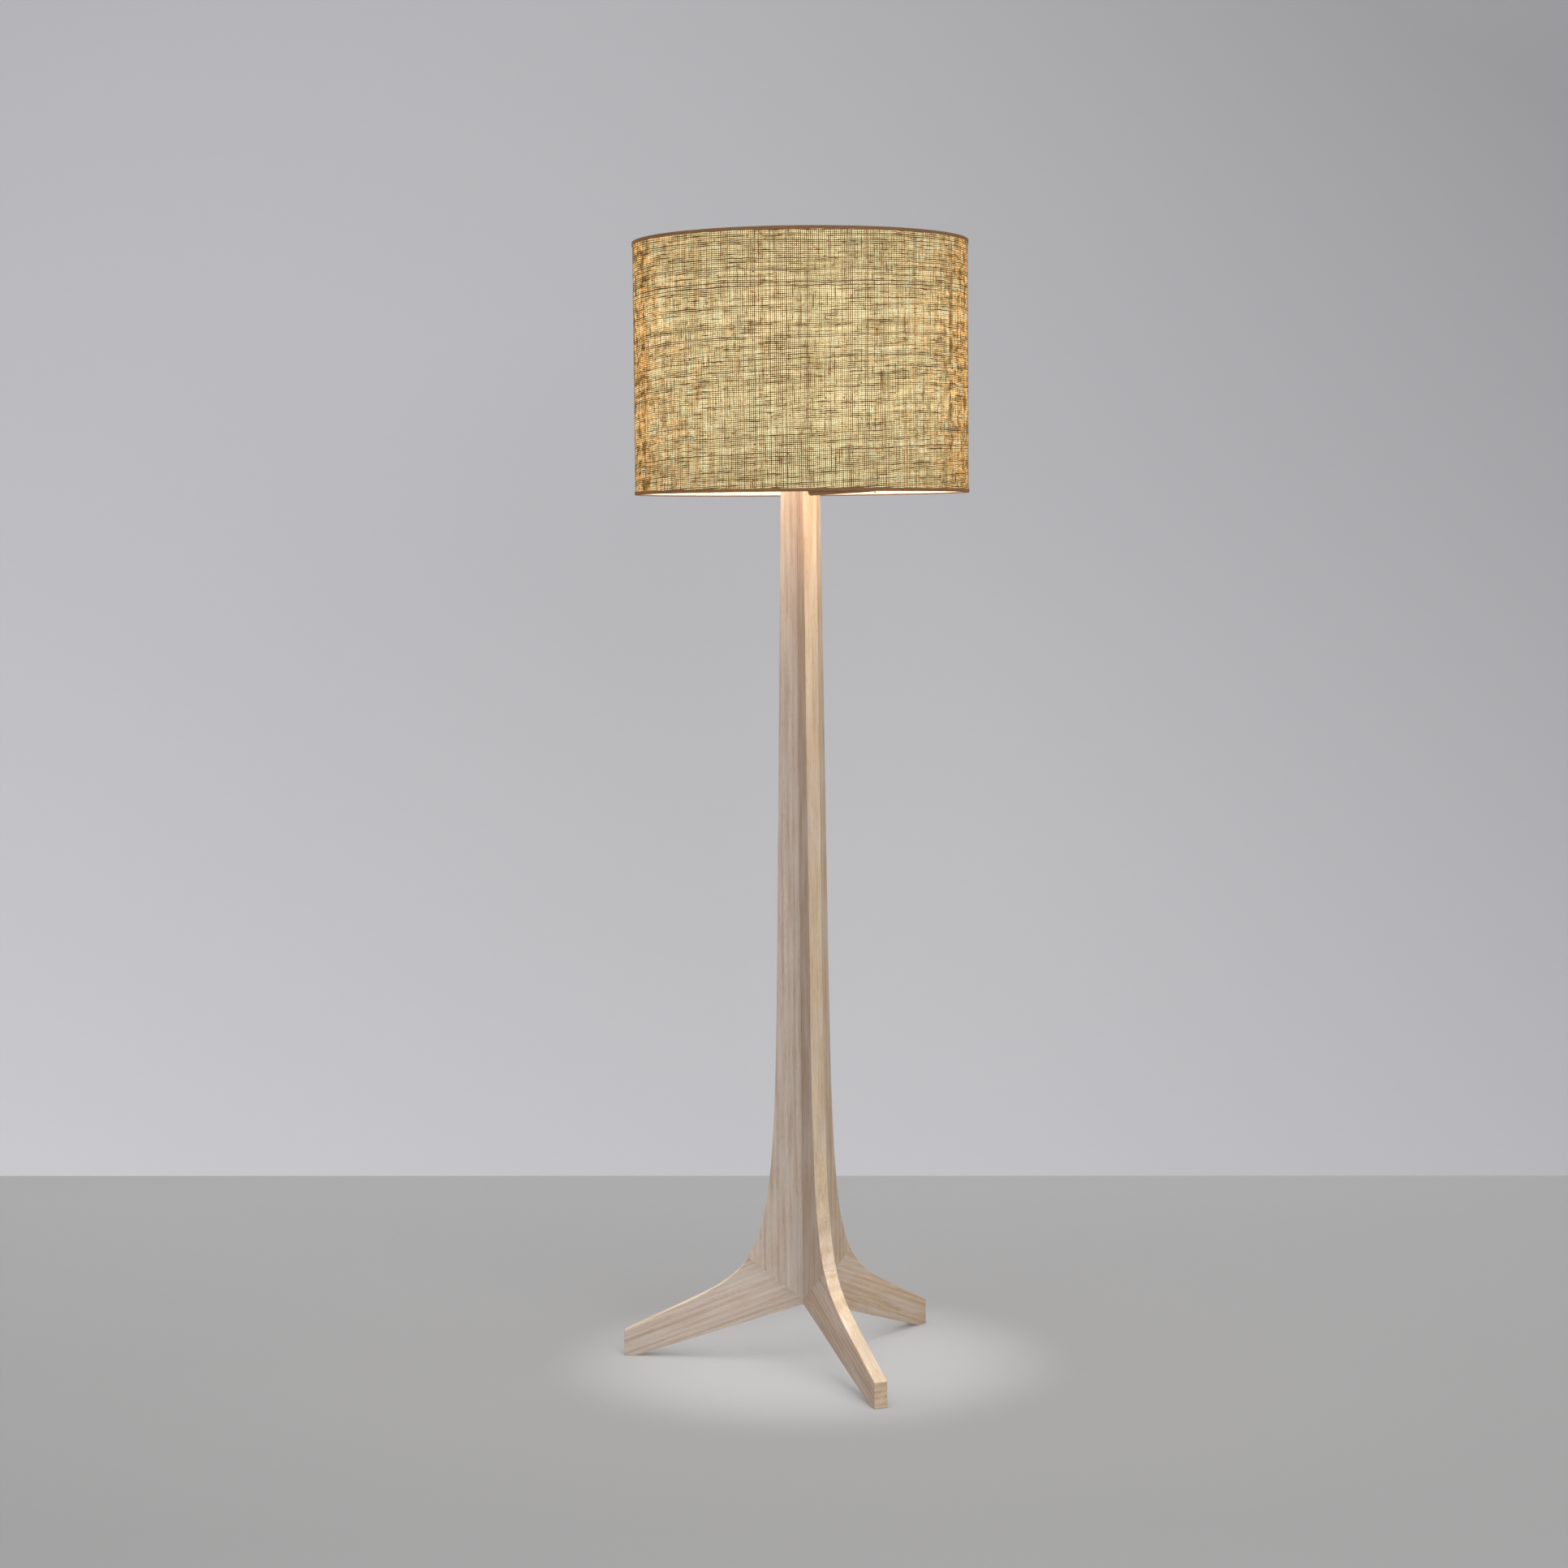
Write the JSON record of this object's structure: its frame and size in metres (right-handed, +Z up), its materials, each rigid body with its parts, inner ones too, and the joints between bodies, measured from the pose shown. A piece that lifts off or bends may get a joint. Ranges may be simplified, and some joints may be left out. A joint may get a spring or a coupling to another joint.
{
  "type": "floor lamp",
  "caption": "Floor lamp with a Y-plan column of mitred boards on splayed feet, and a drum shade of open burlap over a harp and a screw-in bulb.",
  "frame": {"origin": "on the floor, at the centre of the lamp's bounding box; the column's axis is 18.5 mm towards +Y from it", "axes": "+Z up; the front foot points along -Y, and the other two feet at 30 and 150 degrees from +X"},
  "size_m": [0.5162, 0.547, 1.7258],
  "materials": {
    "limed_oak": "open-grained oak with a rubbed white lime wash, dead matt",
    "beech": "plain planed beech, inside the mitres",
    "foot_felt": "pressed felt-faced rubber glide",
    "black_plastic": "moulded, satin",
    "steel": "zinc plated, satin",
    "brass": "spun and lacquered, satin",
    "fibre": "grey-brown vulcanised fibre",
    "frosted_glass": "inside frosted, lit",
    "burlap": "coarse open plain weave of slubbed jute",
    "styrene": "thin translucent sheet, satin",
    "hem_cloth": "folded jute strip, glued",
    "lead_jacket": "round three-core lead"
  },
  "bodies": {
    "stand": {"upright_board_front": "limed_oak", "upright_board_right": "limed_oak", "upright_board_left": "limed_oak", "foot_board_front": "limed_oak", "foot_board_right": "limed_oak", "foot_board_left": "limed_oak", "mitre_spline_front": "beech", "mitre_spline_right": "beech", "mitre_spline_left": "beech", "foot_pad_front": "foot_felt", "foot_pad_right": "foot_felt", "foot_pad_left": "foot_felt", "cap_screw_front": "steel", "cap_screw_right": "steel", "cap_screw_left": "steel", "column_cap": "steel", "locknut": "steel", "saddle_washer": "steel", "cord_bushing": "black_plastic", "holder_switch_body": "black_plastic", "nipple": "brass", "harp_saddle": "brass", "harp_bow": "brass", "holder_cap": "brass", "holder_shell": "brass", "holder_screw_shell": "brass", "holder_contact": "brass", "holder_insulating_sleeve": "fibre", "internal_lead": "lead_jacket"},
    "shade": {"shade_fabric": "burlap", "shade_liner": "styrene", "hem_top": "hem_cloth", "hem_bottom": "hem_cloth", "top_ring": "steel", "bottom_ring": "steel", "spider_hub": "steel", "spider_arm_front": "steel", "spider_arm_right": "steel", "spider_arm_left": "steel"},
    "finial": {"finial": "brass"},
    "swivel_stud": {"harp_stud": "brass"},
    "sleeve_left": {"harp_sleeve_left": "brass"},
    "sleeve_right": {"harp_sleeve_right": "brass"},
    "knob": {"switch_knob": "black_plastic"},
    "bulb": {"bulb_glass": "frosted_glass", "bulb_base": "brass", "bulb_contact": "brass"}
  },
  "joints": [
    {"name": "shade_swivel", "type": "hinge", "parent": "stand", "child": "swivel_stud", "pos_m": [0, 0.0185, 1.6857], "axis": [0, 0, 1], "continuous": true},
    {"name": "shade_lift_off", "type": "slide", "parent": "swivel_stud", "child": "shade", "axis": [0, 0, 1], "range_m": [0, 0.4]},
    {"name": "finial_turn", "type": "hinge", "parent": "shade", "child": "finial", "pos_m": [0, 0.0185, 1.6948], "axis": [0, 0, 1], "continuous": true},
    {"name": "bulb_turn", "type": "hinge", "parent": "stand", "child": "bulb", "pos_m": [0, 0.0185, 1.464], "axis": [0, 0, 1], "range_deg": [0, 1080]},
    {"name": "switch_turn", "type": "hinge", "parent": "stand", "child": "knob", "pos_m": [0, -0.0015, 1.4555], "axis": [0, -1, 0], "continuous": true},
    {"name": "sleeve_left_slide", "type": "slide", "parent": "stand", "child": "sleeve_left", "axis": [0, 0, 1], "range_m": [0, 0.012]},
    {"name": "sleeve_right_slide", "type": "slide", "parent": "stand", "child": "sleeve_right", "axis": [0, 0, 1], "range_m": [0, 0.012]}
  ]
}
